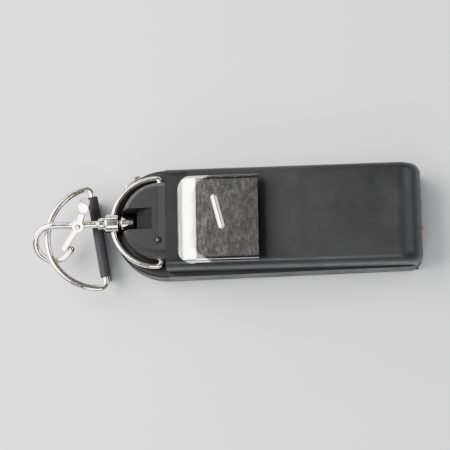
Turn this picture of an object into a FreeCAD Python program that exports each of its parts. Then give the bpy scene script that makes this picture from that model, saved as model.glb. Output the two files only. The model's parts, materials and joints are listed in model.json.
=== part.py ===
import FreeCAD
import Part
import math
import os

# Wireless bodypack transmitter, lying on its front face, back and belt clip up.
# Millimetres. +Z up, +X towards the pack's bottom end (battery door end).
# Origin: centre of the front face that the pack rests on.

Vec = FreeCAD.Vector
os.makedirs("parts", exist_ok=True)

# ---- driving dimensions: case ----
pack_length = 132.6        # nose of the cap to the bottom end
pack_height = 27.0         # front face to back face
back_width = 43.0          # back shell
front_width_top = 47.0     # front shell where it meets the cap
front_width_end = 44.0     # front shell at the bottom end
split_height = 14.0        # top of the front shell
gasket_height = 0.8
wall = 2.0
edge_round = 4.0           # back shell's long edges
end_round = 10.0           # back shell's bottom end, seen from the side
front_round = 3.0          # front shell's lower edges
corner_round = 6.0         # front shell's corners in plan

# ---- driving dimensions: cap, bail and pivots ----
crown_radius = 17.0
pivot_height = 17.0
neck_length = 2.8          # pivot line to the start of the shells
bail_wire = 2.6            # diameter
bail_gap = 0.5             # wire to crown, at the sides
bail_elbow = 2.0           # bend into the pivot holes
pivot_depth = 4.0          # wire end inside the crown
slot_width = 9.0           # slot for the rivet head
slot_back_gap = 0.4        # slot's back wall beyond the back face's height over the pivot

# ---- driving dimensions: snap hook ----
boss_diameter = 8.0
boss_length = 6.8
stud_diameter = 4.0
stud_head_diameter = 6.0
collar_diameter = 5.2
collar_length = 2.4
hook_wire = 3.2
curl_radius = 7.9          # wire centre line
curl_centre_reach = 22.8   # from the boss's outer face
curl_sweep = 248.0         # degrees of the curl's arc
hook_tilt = 27.6           # degrees, the hook's plane about the shank
trigger_reach = 11.6       # pivot, from the boss's outer face
trigger_boss_diameter = 5.6
trigger_cheek = 1.1
trigger_pin_diameter = 1.6
trigger_tail = 9.0         # pivot to the thumb pad's middle
trigger_half = 1.5         # half the tail's width
gate_half = 1.2            # half the gate's width
trigger_bend = 195.0       # degrees from the gate round to the tail
thumb_pad_diameter = 5.2

# ---- driving dimensions: strap ring and tab ----
ring_wire = 3.0
ring_radius = 22.3         # big arc, wire centre line
ring_depth = 22.3          # bar to the top of the arc
ring_corner = 3.0
ring_reach = 3.3           # bar's middle beyond the boss
ring_aside = 4.7
ring_drop = 5.5            # bar's middle below the pivot line
ring_turn = -80.85         # degrees, direction of the bar in plan
ring_slope = 5.0           # degrees, the arc stands higher than the bar
tab_thickness = 1.0
tab_width = 36.0
tab_bottom = 0.3

# ---- driving dimensions: belt clip ----
clip_length = 34.3
clip_width = 37.0
clip_thickness = 1.2
clip_rise = 6.6            # top of the clip above the back face
clip_start = 5.7           # rolled edge, from the shells' start
clip_offset = -2.0         # sideways, from the pack's centre line
clip_nose = 7.5            # length of the rolled edge
clip_edge = 4.0            # depth of the rolled edge
clip_rim = 2.0             # depth of the turned long edges
clip_corner = 6.0
clip_side_round = 1.8
bead_length = 13.0
bead_radius = 1.5
bead_sunk = 0.6
bead_turn = 14.0           # degrees
bead_place = 17.3          # from the rolled edge
bead_aside = 2.5
clip_pin_diameter = 2.4
clip_pin_reach = 8.3       # from the clip's rolled edge
clip_pin_rise = 3.3        # above the back face
clip_lug_radius = 2.0
clip_lug_gap = 14.0        # between the base's two ears
base_length = 13.4
base_width = 24.0
base_plate = 1.0
ear_thickness = 1.6
base_screw_inset = 3.5     # screw centres in from the base plate's ends
base_reach = 4.5           # from the clip's pin to the plate's front edge
clip_screw_grip = 2.5      # below the back shell's wall
clip_boss_grip = 3.0
clip_boss_radius = 3.2
screw_diameter = 2.5
screw_head_radius = 2.2
clip_head_height = 0.9
case_head_height = 1.2

# ---- driving dimensions: front side ----
door_length = 60.0
door_width = 34.0
door_thickness = 1.6
door_tongue = 1.2          # side tongues that run in the shell's grooves
grip_width = 16.0          # finger grooves across the door's end
grip_pitch = 2.4
grip_groove = 1.0
grip_count = 4
cell_diameter = 14.5
cell_length = 49.2
cell_nub = 1.0
cell_nub_diameter = 5.5
window_length = 25.0
window_width = 25.0
window_thickness = 1.2
window_start = 7.8         # from the shells' start
key_diameter = 7.0
key_pitch = 10.5
key_height = 3.4
key_gap = 5.0              # window to the keys' centre line
display_border = 1.0       # the panel inside the window's opening
display_thickness = 2.4
board_thickness = 1.6
board_share = 0.6          # of the spare height between cells and back shell, left under the board
shield_length = 19.0
shield_width = 22.0
shield_height = 2.8
shield_gap = 4.5           # from the clip's screws
chip_size = 10.0
chip_gap = 2.0
chip_height = 1.2
screw_spread = 14.5        # case screws, from the centre line
post_radius = 2.6
contact_wire = 0.7
contact_turns = 3
contact_sheet = 0.5

# ---- driving dimensions: sockets and switches ----
charge_spread = 6.0
charge_height = 10.5
charge_radius = 2.0
jack_bore = 3.6
jack_bush = 6.0
jack_angle = 50.0          # degrees from the nose towards +Y
jack_height = 8.0
jack_depth = 15.5          # inside the cap's face
jack_floor = 1.5           # closed end of the bush
nut_seat = 0.05            # under the nut, and the bush's end beyond it
nut_diameter = 9.0
nut_thickness = 1.8
lamp_diameter = 3.0
lamp_back = 3.0            # from the shells' start towards the nose
lamp_aside = 9.5
lamp_stem = 1.6
slider_length = 8.0
slider_width = 4.0
slider_travel = 4.0
slider_start = 58.0        # from the shells' start
stem_half = 0.9
stem_reach = 2.2           # inside the wall
slider_rise = 1.5          # thumb piece, out from the shell

# ---- clearances ----
run_gap = 0.1              # running fits, on the radius
slide_gap = 0.2            # sliding plates
seat_gap = 0.3             # parts that move past each other

# ---- derived places ----
clip_top = pack_height + clip_rise
clip_pin_height = pack_height + clip_pin_rise
slot_back_radius = pack_height - pivot_height + slot_back_gap
bail_radius = crown_radius + bail_wire / 2 + bail_gap
end_bend = min(end_round, pack_height - split_height - gasket_height - 1.5)
nose = -pack_length / 2
end = pack_length / 2
pivot_x = nose + back_width / 2
shell_start = pivot_x + neck_length
shell_length = end - shell_start
back_start = split_height + gasket_height
bail_centre = pivot_x - bail_elbow
apex = bail_centre - bail_radius
boss_out = apex - boss_length / 2
boss_in = apex + boss_length / 2
ring_mid = Vec(boss_out - ring_reach, -ring_aside, pivot_height - ring_drop)
clip_left = shell_start + clip_start
clip_right = clip_left + clip_length
clip_pin_x = clip_left + clip_pin_reach
window_left = shell_start + window_start
key_line = window_left + window_length + key_gap
slider_place = shell_start + slider_start
door_start = end - door_length
cell_z = door_thickness + slide_gap + seat_gap + cell_diameter / 2
cell_top = cell_z + cell_diameter / 2
board_spare = pack_height - wall - cell_top - board_thickness - shield_height
board_height = cell_top + board_share * board_spare
board_top = board_height + board_thickness


def save(name, shape):
    shape.exportStep("parts/" + name + ".step")
    print(name, "valid" if shape.isValid() else "INVALID", len(shape.Solids), round(shape.Volume, 2))


def block(x0, x1, y0, y1, z0, z1):
    return Part.makeBox(x1 - x0, y1 - y0, z1 - z0, Vec(x0, y0, z0))


def rod(start, finish, radius):
    run = finish - start
    return Part.makeCylinder(radius, run.Length, start, run)


def plate(points, z0, z1):
    """Flat outline of corner points, raised from z0 to z1."""
    corners = [Vec(x, y, z0) for x, y in points]
    face = Part.Face(Part.makePolygon(corners + corners[:1]))
    return face.extrude(Vec(0, 0, z1 - z0))


def pick(shape, test):
    return [e for e in shape.Edges if test(e)]


def rounded(shape, radius, test):
    return shape.makeFillet(radius, pick(shape, test))


def upright(edge):
    a, b = edge.Vertexes[0].Point, edge.Vertexes[-1].Point
    return abs(a.x - b.x) < 1e-6 and abs(a.y - b.y) < 1e-6 and abs(a.z - b.z) > 1e-3


def wire_sweep(edges, radius):
    """Round wire along a path of lines and arcs."""
    path = Part.Wire([e.toShape() for e in edges])
    first = edges[0]
    start = first.value(first.FirstParameter)
    along = first.tangent(first.FirstParameter)[0]
    ring = Part.Wire(Part.makeCircle(radius, start, along))
    return path.makePipeShell([ring], True, False)


def arc_by(centre, radius, from_deg, to_deg):
    def at(deg):
        rad = math.radians(deg)
        return centre + Vec(radius * math.cos(rad), radius * math.sin(rad), 0)
    return Part.Arc(at(from_deg), at((from_deg + to_deg) / 2), at(to_deg))


def bore_x(x0, x1, y, z, radius):
    return rod(Vec(x0, y, z), Vec(x1, y, z), radius)


def bore_y(y0, y1, x, z, radius):
    return rod(Vec(x, y0, z), Vec(x, y1, z), radius)


def bore_z(z0, z1, x, y, radius):
    return rod(Vec(x, y, z0), Vec(x, y, z1), radius)


def tilt_hook(shape):
    shape.rotate(Vec(0, 0, pivot_height), Vec(1, 0, 0), hook_tilt)
    return shape


def half_front(x):
    """Half the front shell's width at x."""
    share = (x - shell_start) / shell_length
    return (front_width_top + (front_width_end - front_width_top) * share) / 2


# ---- front shell: tapered tray with the display, keys and battery bay ----
door_lane = door_width / 2 + slide_gap
bay_start = door_start + 1.0
bay_end = end - wall - 1.5
bay_half = cell_diameter + 1.0


def key_places():
    return [i * key_pitch for i in (-1, 0, 1)]


def screw_places():
    near = shell_start + 5.0
    far = door_start - 3.2
    return [(x, s * screw_spread) for x in (near, far) for s in (-1, 1)]


def make_front_shell():
    outline = [(shell_start, -half_front(shell_start)), (end, -half_front(end)),
               (end, half_front(end)), (shell_start, half_front(shell_start))]
    body = plate(outline, 0, split_height)
    body = rounded(body, corner_round, lambda e: upright(e) and e.CenterOfMass.x > 0)
    body = rounded(body, front_round, lambda e: e.BoundBox.ZMax < 1e-6 and e.CenterOfMass.x > shell_start + 1)
    hollow_half = half_front(end) - wall - 0.6
    hollow = block(shell_start + wall, end - wall, -hollow_half, hollow_half, wall, split_height + 1)
    hollow = rounded(hollow, corner_round - wall, lambda e: upright(e) and e.CenterOfMass.x > 0)
    shell = body.cut(hollow)
    # bay floor: the door closes a lane from the bay to the bottom end
    lane = block(door_start - slide_gap, end + 1, -door_lane, door_lane, -1, door_thickness + slide_gap)
    groove_low = 0.5
    groove = block(door_start - slide_gap, end + 1, -door_lane - door_tongue, door_lane + door_tongue,
                   groove_low, door_thickness + slide_gap)
    side_rail = [block(door_start, end - wall, s * (door_lane + 2.6) - 1.6, s * (door_lane + 2.6) + 1.6,
                       wall, wall + 1.5) for s in (-1, 1)]
    bay = block(bay_start, bay_end, -bay_half, bay_half, -1, wall + 1)
    shell = shell.fuse(side_rail).cut(lane).cut(groove).cut(bay)
    # display window: a through opening with a shallow seat
    seat = block(window_left, window_left + window_length, -window_width / 2, window_width / 2,
                 -1, window_thickness + 0.2)
    view = block(window_left + 2, window_left + window_length - 2, -window_width / 2 + 2,
                 window_width / 2 - 2, -1, wall + 1)
    shell = shell.cut(seat).cut(view)
    for y in key_places():
        shell = shell.cut(bore_z(-1, wall + 1, key_line, y, key_diameter / 2 + slide_gap))
    for x, y in screw_places():
        shell = shell.fuse(bore_z(wall - 0.5, split_height, x, y, post_radius + 0.2))
    for x, y in screw_places():
        shell = shell.cut(bore_z(-1, split_height + 1, x, y, screw_diameter / 2))
        shell = shell.cut(bore_z(-1, case_head_height + 0.4, x, y, screw_head_radius + run_gap))
    # slot for the side switch's stem
    half = stem_half + run_gap + slide_gap
    slot = block(slider_place - stem_half - seat_gap, slider_place + slider_travel + stem_half + seat_gap,
                 hollow_half - 1, front_width_top, split_height / 2 - half, split_height / 2 + half)
    return shell.cut(slot)


def make_back_shell():
    half = back_width / 2
    top = pack_height
    bend = Part.Arc(Vec(end - end_bend, -half, top),
                    Vec(end - end_bend * (1 - math.sin(math.pi / 4)), -half,
                        top - end_bend * (1 - math.cos(math.pi / 4))),
                    Vec(end, -half, top - end_bend))
    corners = [Vec(end, -half, top - end_bend), Vec(end, -half, back_start),
               Vec(shell_start, -half, back_start), Vec(shell_start, -half, top),
               Vec(end - end_bend, -half, top)]
    lines = [Part.LineSegment(a, b).toShape() for a, b in zip(corners, corners[1:])]
    profile = Part.Wire([bend.toShape()] + lines)
    body = Part.Face(profile).extrude(Vec(0, back_width, 0))

    def side_edge(e):
        box = e.BoundBox
        flat = abs(box.YMax - box.YMin) < 1e-6
        return flat and box.ZMax > back_start + 0.5 and box.XMax > shell_start + 1
    body = body.makeFillet(edge_round, pick(body, side_edge))
    inner = block(shell_start + wall, end - wall - 1.5, -half + wall, half - wall,
                  back_start - 1, top - wall)
    inner = inner.makeChamfer(edge_round * 0.6, pick(inner, lambda e: abs(e.BoundBox.ZMin - (top - wall)) < 1e-6
                                                     and e.BoundBox.YLength < 1e-6))
    inner = inner.makeChamfer(end_bend * 0.45, pick(inner, lambda e: e.BoundBox.XMin > end - wall - 1.6
                                                    and e.BoundBox.ZMin > top - wall - 0.1))
    shell = body.cut(inner)
    for y in base_screw_places():
        x = clip_base_x()
        shell = shell.fuse(bore_z(top - wall - clip_boss_grip, top - wall + 0.5, x, y, clip_boss_radius))
        shell = shell.cut(bore_z(top - wall - clip_boss_grip - 1, top + 1, x, y, screw_diameter / 2))
    return shell.removeSplitter()


def clip_base_x():
    return clip_pin_x + clip_lug_radius + screw_head_radius + seat_gap + 0.1


def base_screw_places():
    reach = base_width / 2 - base_screw_inset
    return [clip_offset - reach, clip_offset + reach]


def make_gasket():
    half = back_width / 2 - 0.7
    outer = block(shell_start, end - 0.7, -half, half, split_height, back_start)
    outer = rounded(outer, 3.0, lambda e: upright(e) and e.CenterOfMass.x > 0)
    inner_half = half_front(end) - wall - 0.6
    inner = block(shell_start + wall, end - wall - 1.5, -inner_half + 1.6, inner_half - 1.6,
                  split_height - 1, back_start + 1)
    return outer.cut(inner)


# ---- cap: rounded end with the crown between the bail's legs ----
def jack_way():
    rad = math.radians(jack_angle)
    return Vec(-math.cos(rad), math.sin(rad), 0)


def jack_face():
    """From the middle of the cap's straight edge out to its rounded face, along the jack."""
    wide = front_width_top / 2
    depth = shell_start - nose
    radius = (wide ** 2 + depth ** 2) / (2 * depth)
    shift = (depth - radius) * math.cos(math.radians(jack_angle))
    return shift + math.sqrt(shift ** 2 + radius ** 2 - (depth - radius) ** 2)


def jack_spot(reach):
    return Vec(shell_start, 0, jack_height) + jack_way() * reach


def make_top_cap():
    wide = front_width_top / 2
    arc = Part.Arc(Vec(shell_start, -wide, 0), Vec(nose, 0, 0), Vec(shell_start, wide, 0))
    line = Part.LineSegment(Vec(shell_start, wide, 0), Vec(shell_start, -wide, 0))
    base = Part.Face(Part.Wire([arc.toShape(), line.toShape()])).extrude(Vec(0, 0, split_height))
    base = rounded(base, front_round, lambda e: e.BoundBox.ZMax < 1e-6 and e.Curve.TypeId == "Part::GeomCircle")
    base = rounded(base, 1.5, lambda e: e.BoundBox.ZMin > split_height - 1e-6
                   and e.Curve.TypeId == "Part::GeomCircle")
    centre = Vec(pivot_x, 0, pivot_height)
    ball = Part.makeSphere(crown_radius, centre)
    keep = block(nose, pivot_x, -crown_radius, crown_radius, split_height - 1, pack_height)
    crown = ball.common(keep)
    flat = block(pivot_x, shell_start, -crown_radius, crown_radius, split_height - 1, pack_height)
    round_neck = bore_x(pivot_x, shell_start, 0, pivot_height, crown_radius)
    neck = flat.common(round_neck)
    cap = base.fuse([crown, neck])
    # slot for the rivet head, open upwards, its back wall round about the pivot
    slot = block(nose - 1, pivot_x, -slot_width / 2, slot_width / 2,
                 pivot_height - boss_diameter / 2 - 0.7, pack_height + 1)
    slot = slot.cut(bore_y(-slot_width, slot_width, pivot_x, pivot_height, slot_back_radius))
    cap = cap.cut(slot)
    hole = bail_wire / 2 + run_gap
    for s in (-1, 1):
        side = s * crown_radius
        cap = cap.cut(bore_y(min(side * 1.1, side - s * (pivot_depth + 0.5)),
                             max(side * 1.1, side - s * (pivot_depth + 0.5)), pivot_x, pivot_height, hole))
    cap = cap.cut(rod(jack_spot(jack_face() - jack_depth), jack_spot(jack_face() * 2), jack_bush / 2))
    lamp = lamp_spot()
    cap = cap.cut(bore_z(lamp.z - lamp_stem, lamp.z + lamp_diameter, lamp.x, lamp.y, lamp_diameter / 2))
    return cap.removeSplitter()


def lamp_spot():
    return Vec(shell_start - lamp_back, -lamp_aside, pack_height)


def make_lamp():
    spot = lamp_spot()
    top = math.sqrt(crown_radius ** 2 - (spot.x - pivot_x) ** 2 - spot.y ** 2) + pivot_height
    level = min(top, pack_height) - 0.6
    stem = bore_z(spot.z - lamp_stem, level, spot.x, spot.y, lamp_diameter / 2)
    dome = Part.makeSphere(lamp_diameter / 2, Vec(spot.x, spot.y, level), Vec(0, 0, 1), 0, 90, 360)
    return stem.fuse(dome).removeSplitter()


def make_jack():
    deep = jack_face() - jack_depth
    outer = jack_face() + nut_thickness + 2 * nut_seat
    bush = rod(jack_spot(deep), jack_spot(outer), jack_bush / 2)
    return bush.cut(rod(jack_spot(deep + jack_floor), jack_spot(outer + 1), jack_bore / 2))


def make_jack_nut():
    low = jack_face() + nut_seat
    ring = rod(jack_spot(low), jack_spot(low + nut_thickness), nut_diameter / 2)
    return ring.cut(rod(jack_spot(low - 1), jack_spot(low + nut_thickness + 1), jack_bush / 2))


# ---- bail: bent wire with a rivet boss ----
def make_bail():
    centre = Vec(bail_centre, 0, pivot_height)
    leg = bail_radius - bail_elbow
    inner_end = crown_radius - pivot_depth
    low = Part.LineSegment(Vec(pivot_x, -inner_end, pivot_height), Vec(pivot_x, -leg, pivot_height))
    bend_low = arc_by(Vec(bail_centre, -leg, pivot_height), bail_elbow, 0, -90)
    sweep = arc_by(centre, bail_radius, -90, -270)
    bend_high = arc_by(Vec(bail_centre, leg, pivot_height), bail_elbow, 90, 0)
    high = Part.LineSegment(Vec(pivot_x, leg, pivot_height), Vec(pivot_x, inner_end, pivot_height))
    wire = wire_sweep([low, bend_low, sweep, bend_high, high], bail_wire / 2)
    boss = bore_x(boss_out, boss_in, 0, pivot_height, boss_diameter / 2)
    boss = boss.makeChamfer(0.8, pick(boss, lambda e: e.Curve.TypeId == "Part::GeomCircle"))
    bail = wire.fuse(boss)
    return bail.cut(bore_x(boss_out - 1, boss_in + 1, 0, pivot_height, stud_diameter / 2 + run_gap))


# ---- snap hook: stud, collar, shank and curl in one bent and upset wire ----
def curl_centre():
    return Vec(boss_out - curl_centre_reach, -curl_radius, pivot_height)


def trigger_x():
    return boss_out - trigger_reach


def curl_tip():
    rad = math.radians(90 + curl_sweep)
    return curl_centre() + Vec(curl_radius * math.cos(rad), curl_radius * math.sin(rad), 0)


def make_hook():
    centre = curl_centre()
    shank = Part.LineSegment(Vec(boss_out - seat_gap, 0, pivot_height), Vec(centre.x, 0, pivot_height))
    curl = arc_by(centre, curl_radius, 90, 90 + curl_sweep)
    hook = wire_sweep([shank, curl], hook_wire / 2)
    hook = hook.fuse(Part.makeSphere(hook_wire / 2, curl_tip()))
    collar = bore_x(boss_out - seat_gap - collar_length, boss_out - seat_gap, 0, pivot_height,
                    collar_diameter / 2)
    head_far = pivot_x - slot_back_radius - 0.8
    stud = bore_x(boss_out - seat_gap, head_far - 1, 0, pivot_height, stud_diameter / 2)
    head = bore_x(boss_in + seat_gap, head_far, 0, pivot_height, stud_head_diameter / 2)
    head = head.makeFillet(1.2, pick(head, lambda e: e.BoundBox.XMin > head_far - 1e-6))
    eye = Part.makeCylinder(trigger_boss_diameter / 2, hook_wire,
                            Vec(trigger_x(), 0, pivot_height - hook_wire / 2), Vec(0, 0, 1))
    hook = hook.fuse([collar, stud, head, eye])
    hook = hook.cut(bore_z(0, 40, trigger_x(), 0, trigger_pin_diameter / 2))
    return tilt_hook(hook.removeSplitter())


def trigger_gate_tip():
    tip = curl_tip()
    back = Vec(trigger_x(), 0, pivot_height) - tip
    along = Vec(back.x, back.y, 0).normalize()
    inward = Vec(-along.y, along.x, 0)
    if inward.x > 0:
        inward = inward * -1
    return tip + inward * (hook_wire / 2 + seat_gap + gate_half)


def make_trigger():
    low = pivot_height - hook_wire / 2 - slide_gap - trigger_cheek
    gate_tip = trigger_gate_tip()
    pivot = Vec(trigger_x(), 0, pivot_height)
    reach = gate_tip - pivot
    gate_deg = math.degrees(math.atan2(reach.y, reach.x))
    thick = hook_wire + 2 * (slide_gap + trigger_cheek)

    def arm(length, deg, z0, height, half):
        bar = block(0, length, -half, half, 0, height)
        bar = bar.fuse(Part.makeCylinder(half, height, Vec(length, 0, 0)))
        bar.rotate(Vec(0, 0, 0), Vec(0, 0, 1), deg)
        bar.translate(Vec(pivot.x, pivot.y, z0))
        return bar
    hub = Part.makeCylinder(trigger_boss_diameter / 2, thick, Vec(pivot.x, pivot.y, low))
    gate = arm(reach.Length, gate_deg, low, thick, gate_half)
    tail = arm(trigger_tail, gate_deg + trigger_bend, low, thick, trigger_half)
    pad = Part.makeCylinder(thumb_pad_diameter / 2, thick + 1.2, Vec(0, 0, low - 0.6))
    far = math.radians(gate_deg + trigger_bend)
    pad.translate(Vec(pivot.x + trigger_tail * math.cos(far), pivot.y + trigger_tail * math.sin(far), 0))
    lever = hub.fuse([gate, tail, pad])
    # room for the shank, the hook's eye and the hook's path while the lever swings
    room = Part.makeCylinder(trigger_boss_diameter / 2 + 2.4, hook_wire + 2 * slide_gap,
                             Vec(pivot.x, pivot.y, pivot_height - hook_wire / 2 - slide_gap))
    lever = lever.cut(room)
    lever = lever.cut(bore_z(0, 40, pivot.x, pivot.y, trigger_pin_diameter / 2 + run_gap))
    return tilt_hook(lever.removeSplitter())


def make_trigger_pin():
    half = hook_wire / 2 + slide_gap + trigger_cheek + 0.3
    pin = bore_z(pivot_height - half, pivot_height + half, trigger_x(), 0, trigger_pin_diameter / 2)
    return tilt_hook(pin)


# ---- strap ring and its webbing tab ----
def place_ring(shape):
    """From the ring's own frame: bar along X, arc towards +Y."""
    shape.rotate(Vec(0, 0, 0), Vec(1, 0, 0), ring_slope)
    shape.rotate(Vec(0, 0, 0), Vec(0, 0, 1), ring_turn + 180)
    shape.translate(ring_mid)
    return shape


def ring_corner_place():
    big_y = ring_depth - ring_radius
    reach = ring_radius - ring_corner
    return math.sqrt(reach ** 2 - (ring_corner - big_y) ** 2), big_y, reach


def make_ring():
    a, big_y, reach = ring_corner_place()
    lean = math.degrees(math.atan2(ring_corner - big_y, a))
    bar = Part.LineSegment(Vec(-a, 0, 0), Vec(a, 0, 0))
    right = arc_by(Vec(a, ring_corner, 0), ring_corner, -90, lean)
    bow = arc_by(Vec(0, big_y, 0), ring_radius, lean, 180 - lean)
    left = arc_by(Vec(-a, ring_corner, 0), ring_corner, 180 - lean, 270)
    return place_ring(wire_sweep([bar, right, bow, left], ring_wire / 2))


def make_tab():
    inner = ring_wire / 2 + 0.05
    outer = inner + tab_thickness
    drop = ring_mid.z - tab_bottom
    half = tab_width / 2
    loop = bore_x(-half, half, 0, 0, outer)
    hang = block(-half, half, -tab_thickness, tab_thickness, -drop, 0)
    tab = loop.fuse(hang).cut(bore_x(-half - 1, half + 1, 0, 0, inner))
    tab.rotate(Vec(0, 0, 0), Vec(0, 0, 1), ring_turn + 180)
    tab.translate(ring_mid)
    return tab.removeSplitter()


# ---- belt clip ----
def clip_block(inset, low):
    """Pressed clip: side outline crossed with the rounded plan, less an inset all round."""
    top = clip_top - inset
    left = clip_left + inset
    right = clip_right + inset * 3
    half = clip_width / 2 - inset
    bend = (clip_nose ** 2 + clip_edge ** 2) / (2 * clip_edge) - inset
    centre = Vec(clip_left + clip_nose, 0, top - bend)
    reach = math.asin((clip_nose - inset) / bend)
    start = centre + Vec(-bend * math.sin(reach), 0, bend * math.cos(reach))
    middle = centre + Vec(-bend * math.sin(reach / 2), 0, bend * math.cos(reach / 2))
    crest = Vec(clip_left + clip_nose, 0, top)
    corners = [crest, Vec(right, 0, top), Vec(right, 0, low), Vec(left, 0, low), start]
    lines = [Part.LineSegment(p, q).toShape() for p, q in zip(corners, corners[1:])]
    side = Part.Face(Part.Wire([Part.Arc(start, middle, crest).toShape()] + lines))
    body = side.extrude(Vec(0, 2 * half, 0))
    body.translate(Vec(0, clip_offset - half, 0))

    def long_edge(e):
        return e.BoundBox.YLength < 1e-6 and e.BoundBox.ZMax > start.z + 0.1 and e.BoundBox.XLength > 1
    body = body.makeFillet(max(0.4, clip_side_round - inset), pick(body, long_edge))
    plan = block(left, right, clip_offset - half, clip_offset + half, low - 1, top + 1)
    plan = rounded(plan, clip_corner - inset, lambda e: upright(e) and e.CenterOfMass.x < right - 1)
    return body.common(plan)


def clip_ear_y():
    return clip_lug_gap / 2 + ear_thickness + seat_gap


def make_clip():
    low = clip_top - clip_edge - 0.3
    shell = clip_block(0, low).cut(clip_block(clip_thickness, low - 1))
    # the long edges are turned down only a little, the rolled edge goes further
    trim = block(clip_left + clip_nose, clip_right + 1, -clip_width, clip_width, low - 2, clip_top - clip_rim)
    shell = shell.cut(trim)
    for s in (-1, 1):
        y = clip_offset + s * (clip_ear_y() + ear_thickness / 2)
        y0 = y - ear_thickness / 2
        lug = block(clip_pin_x - clip_lug_radius, clip_pin_x + clip_lug_radius, y0, y0 + ear_thickness,
                    clip_pin_height, clip_top - clip_thickness + 0.2)
        lug = lug.fuse(bore_y(y0, y0 + ear_thickness, clip_pin_x, clip_pin_height, clip_lug_radius))
        shell = shell.fuse(lug)
    shell = shell.cut(bore_y(-40, 40, clip_pin_x, clip_pin_height, clip_pin_diameter / 2 + run_gap))
    # pressed bead across the plate, a little askew
    half = bead_length / 2
    bead = Part.makeCylinder(bead_radius, bead_length, Vec(0, -half, 0), Vec(0, 1, 0))
    bead = bead.fuse([Part.makeSphere(bead_radius, Vec(0, s * half, 0)) for s in (-1, 1)])
    bead.rotate(Vec(0, 0, 0), Vec(0, 0, 1), bead_turn)
    bead.translate(Vec(clip_left + bead_place, clip_offset + bead_aside, clip_top - bead_sunk))
    cover = block(clip_left, clip_right, -clip_width, clip_width, clip_top - clip_thickness + 0.1, clip_top + 3)
    return shell.fuse(bead.common(cover)).removeSplitter()


def make_clip_base():
    x = clip_base_x()
    low = pack_height
    front = clip_pin_x - base_reach
    foot = block(front, front + base_length, clip_offset - base_width / 2, clip_offset + base_width / 2,
                 low, low + base_plate)
    foot = rounded(foot, 2.0, upright)
    for s in (-1, 1):
        y0 = clip_offset + s * (clip_lug_gap / 2 + ear_thickness / 2) - ear_thickness / 2
        ear = block(clip_pin_x - clip_lug_radius, clip_pin_x + clip_lug_radius, y0, y0 + ear_thickness,
                    low, clip_pin_height)
        ear = ear.fuse(bore_y(y0, y0 + ear_thickness, clip_pin_x, clip_pin_height, clip_lug_radius))
        foot = foot.fuse(ear)
    foot = foot.cut(bore_y(-base_width, base_width, clip_pin_x, clip_pin_height, clip_pin_diameter / 2))
    for y in base_screw_places():
        foot = foot.cut(bore_z(low - 1, low + base_plate + 1, x, y, screw_diameter / 2))
    return foot.removeSplitter()


def make_clip_pin():
    half = clip_ear_y() + ear_thickness + 0.4
    return bore_y(clip_offset - half, clip_offset + half, clip_pin_x, clip_pin_height, clip_pin_diameter / 2)


def make_clip_screws():
    screws = []
    for y in base_screw_places():
        x = clip_base_x()
        top = pack_height + base_plate
        shaft = bore_z(pack_height - wall - clip_screw_grip, top, x, y, screw_diameter / 2)
        head = bore_z(top, top + clip_head_height, x, y, screw_head_radius)
        screws.append(shaft.fuse(head).removeSplitter())
    return Part.makeCompound(screws)


def coil(turns, wire, mean, start, way):
    """Closely wound spring as one turned body with a bead for each turn."""
    inner = mean - wire / 2
    outline = [Vec(inner, 0, 0)]
    for i in range(turns):
        base = i * wire
        outline.append(Vec(mean, 0, base))
        outline.append(Vec(mean + wire / 2, 0, base + wire * 0.3))
        outline.append(Vec(mean + wire / 2, 0, base + wire * 0.7))
    outline += [Vec(mean, 0, turns * wire), Vec(inner, 0, turns * wire)]
    face = Part.Face(Part.makePolygon(outline + outline[:1]))
    body = face.revolve(Vec(0, 0, 0), Vec(0, 0, 1), 360)
    body = Part.Solid(body) if body.ShapeType == "Shell" else body
    body.Placement = FreeCAD.Placement(start, FreeCAD.Rotation(Vec(0, 0, 1), way))
    return body


def make_clip_spring():
    wire = 0.8
    turns = 6
    length = turns * wire
    mean = clip_pin_diameter / 2 + wire / 2 + 0.05
    body = coil(turns, wire, mean, Vec(clip_pin_x, clip_offset - length / 2, clip_pin_height), Vec(0, 1, 0))
    leg = rod(Vec(clip_pin_x, clip_offset - length / 2 + 0.4, clip_pin_height - mean),
              Vec(clip_pin_x + 6.5, clip_offset - length / 2 + 0.4, pack_height + base_plate + wire / 2),
              wire / 2)
    return body.fuse(leg)


# ---- front side and inside ----
def make_window():
    return block(window_left + slide_gap, window_left + window_length - slide_gap,
                 -window_width / 2 + slide_gap, window_width / 2 - slide_gap, 0.2, window_thickness + 0.2)


def make_display():
    half = window_width / 2 - display_border
    return block(window_left + display_border, window_left + window_length - display_border, -half, half,
                 wall, wall + display_thickness)


def make_key(y):
    face = bore_z(seat_gap, seat_gap + key_height, key_line, y, key_diameter / 2)
    face = face.makeChamfer(0.4, pick(face, lambda e: e.BoundBox.ZMax < seat_gap + 1e-6))
    flange = bore_z(wall + 0.05, wall + 0.9, key_line, y, key_diameter / 2 + 0.9)
    return face.fuse(flange).removeSplitter()


def make_door():
    half = door_width / 2
    body = block(door_start, end, -half, half, 0, door_thickness)
    tongue = block(door_start, end - wall, -half - door_tongue, half + door_tongue,
                   0.5 + slide_gap, door_thickness)
    door = body.fuse(tongue)
    # the outer end follows the shell's rounded lower edge
    edge = block(end - front_round, end + 1, -half - 2, half + 2, -1, front_round)
    bend = rod(Vec(end - front_round, -half - 2, front_round), Vec(end - front_round, half + 2, front_round),
               front_round)
    door = door.cut(edge.cut(bend))
    for i in range(grip_count):
        x = end - end_round - front_round - grip_groove + i * grip_pitch
        door = door.cut(block(x, x + grip_groove, -grip_width / 2, grip_width / 2, -1, 0.5))
    return door.removeSplitter()


def near_plate():
    return bay_start + 0.9


def coil_length(turns, wire):
    return wire * turns


def cell_start(s):
    """Cell 1 has its spring at the near end, cell 2 its nub."""
    lead = coil_length(contact_turns, contact_wire) if s > 0 else cell_nub
    return near_plate() + contact_sheet / 2 + lead + 0.05


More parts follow.
